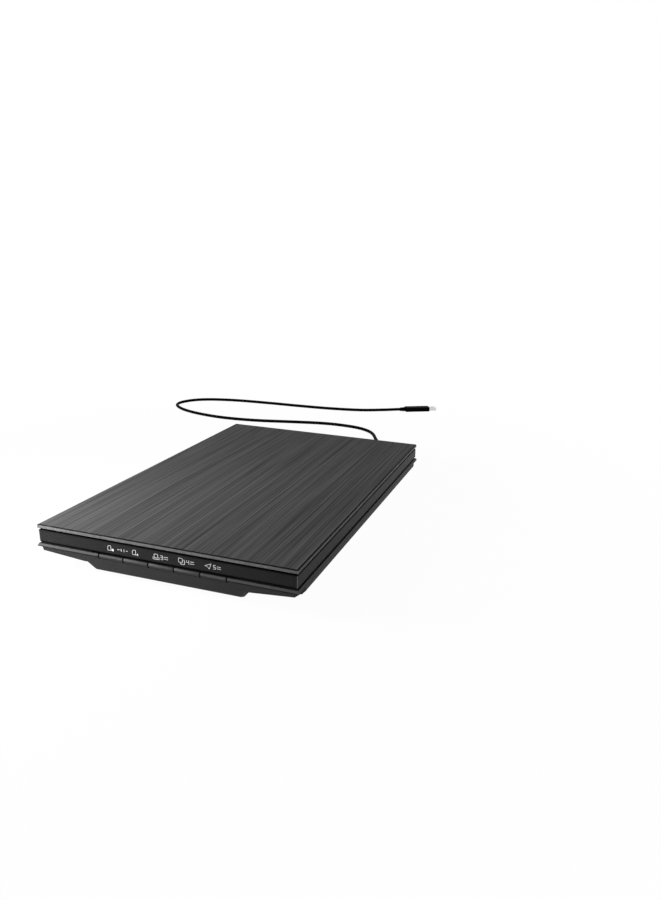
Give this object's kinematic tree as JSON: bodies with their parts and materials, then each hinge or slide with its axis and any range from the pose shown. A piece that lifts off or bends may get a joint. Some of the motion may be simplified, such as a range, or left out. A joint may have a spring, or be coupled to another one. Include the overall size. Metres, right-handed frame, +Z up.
{
  "type": "flatbed scanner",
  "caption": "Slim flatbed document scanner with a lifting lid, a glass platen over a sliding scan head, sprung front keys and a data cable with a plug at its far end.",
  "frame": {"origin": "on the table, under the middle of the case", "axes": "+X to the right along the front, +Y to the back, +Z up; the keys are at -Y"},
  "size_m": [0.4712, 0.7138, 0.042],
  "materials": {
    "lid": "fine hairline lines, front to back",
    "band": "glossy, dark",
    "panel": "polished, with printed white signs",
    "shell": "fine grain",
    "key": "satin",
    "inner_plastic": "moulded, dark",
    "white_plastic": "moulded, white",
    "white_sheet": "matt white film",
    "foam": "soft foam",
    "clear_glass": "clear float glass",
    "clear_plastic": "clear",
    "lens": "row of rod lenses",
    "tape": "adhesive tape",
    "black_rubber": "matt rubber",
    "cable_black": "soft vinyl",
    "steel": "bright",
    "dark_steel": "blackened",
    "motor_steel": "zinc plated",
    "plated_steel": "nickel plated",
    "bearing_brass": "plain",
    "circuit_board": "solder mask",
    "chip": "moulded",
    "flat_cable": "flat, white"
  },
  "bodies": {
    "case": {"lower_case": "shell", "upper_case": "band", "front_panel": "panel", "platen_glass": "clear_glass", "glass_tape": "tape", "calibration_strip": "white_sheet", "rubber_feet": "black_rubber", "case_screws": "dark_steel", "guide_rod": "steel", "rod_clips": "white_plastic", "drive_rack": "white_plastic", "rack_screws": "steel", "main_board": "circuit_board", "board_chips": "chip", "usb_socket": "plated_steel", "board_screws": "steel", "key_board": "circuit_board", "key_switches": "chip", "key_flex": "flat_cable", "head_ribbon": "flat_cable", "usb_c_plug": "cable_black", "usb_c_tip": "plated_steel", "usb_cable": "cable_black", "usb_a_plug": "cable_black", "usb_a_shell": "plated_steel", "usb_a_tongue": "white_plastic"},
    "hinge_legs": {"hinge_leg_left": "inner_plastic", "hinge_leg_right": "inner_plastic", "hinge_pins": "steel"},
    "lid": {"lid_cover": "lid", "lid_tray": "inner_plastic", "pad_foam": "foam", "pad_sheet": "white_sheet", "lid_bumpers": "black_rubber"},
    "scan_head": {"carriage": "inner_plastic", "rod_bushes": "bearing_brass", "sensor_housing": "inner_plastic", "sensor_window": "clear_glass", "lens_array": "lens", "light_guide": "clear_plastic", "lamp_module": "white_plastic", "sensor_board": "circuit_board", "head_springs": "steel", "glass_sliders": "white_plastic", "motor_bracket": "steel", "stepper_motor": "motor_steel", "carriage_screws": "dark_steel", "idler_axle": "steel"},
    "pinion": {"motor_pinion": "bearing_brass"},
    "drive_gear": {"idler_gear": "white_plastic"},
    "key_body_1": {"key_1": "key"},
    "key_body_2": {"key_2": "key"},
    "key_body_3": {"key_3": "key"},
    "key_body_4": {"key_4": "key"},
    "key_body_5": {"key_5": "key"}
  },
  "joints": [
    {"name": "lid_rise", "type": "slide", "parent": "case", "child": "hinge_legs", "axis": [0, 0, 1], "range_m": [0, 0.012]},
    {"name": "lid_hinge", "type": "hinge", "parent": "hinge_legs", "child": "lid", "pos_m": [0, 0.179, 0.0338], "axis": [-1, 0, 0], "range_deg": [0, 100]},
    {"name": "head_run", "type": "slide", "parent": "case", "child": "scan_head", "axis": [0, 1, 0], "range_m": [0, 0.305], "deforming": ["head_ribbon"]},
    {"name": "drive_gear_turn", "type": "hinge", "parent": "scan_head", "child": "drive_gear", "pos_m": [0.022, -0.157, 0.0085], "axis": [0, 0, 1], "range_deg": [-2190, 1]},
    {"name": "pinion_turn", "type": "hinge", "parent": "scan_head", "child": "pinion", "pos_m": [0.009, -0.157, 0.0085], "axis": [0, 0, 1], "range_deg": [-1, 3500]},
    {"name": "key_1_press", "type": "slide", "parent": "case", "child": "key_body_1", "axis": [0, 1, 0], "range_m": [0, 0.0007], "stiffness_N_per_m": 1200},
    {"name": "key_2_press", "type": "slide", "parent": "case", "child": "key_body_2", "axis": [0, 1, 0], "range_m": [0, 0.0007], "stiffness_N_per_m": 1200},
    {"name": "key_3_press", "type": "slide", "parent": "case", "child": "key_body_3", "axis": [0, 1, 0], "range_m": [0, 0.0007], "stiffness_N_per_m": 1200},
    {"name": "key_4_press", "type": "slide", "parent": "case", "child": "key_body_4", "axis": [0, 1, 0], "range_m": [0, 0.0007], "stiffness_N_per_m": 1200},
    {"name": "key_5_press", "type": "slide", "parent": "case", "child": "key_body_5", "axis": [0, 1, 0], "range_m": [0, 0.0007], "stiffness_N_per_m": 1200}
  ],
  "couplings": [
    {"joint": "drive_gear_turn", "follows": "head_run", "rad_per_m": -125},
    {"joint": "pinion_turn", "follows": "head_run", "rad_per_m": 200}
  ]
}
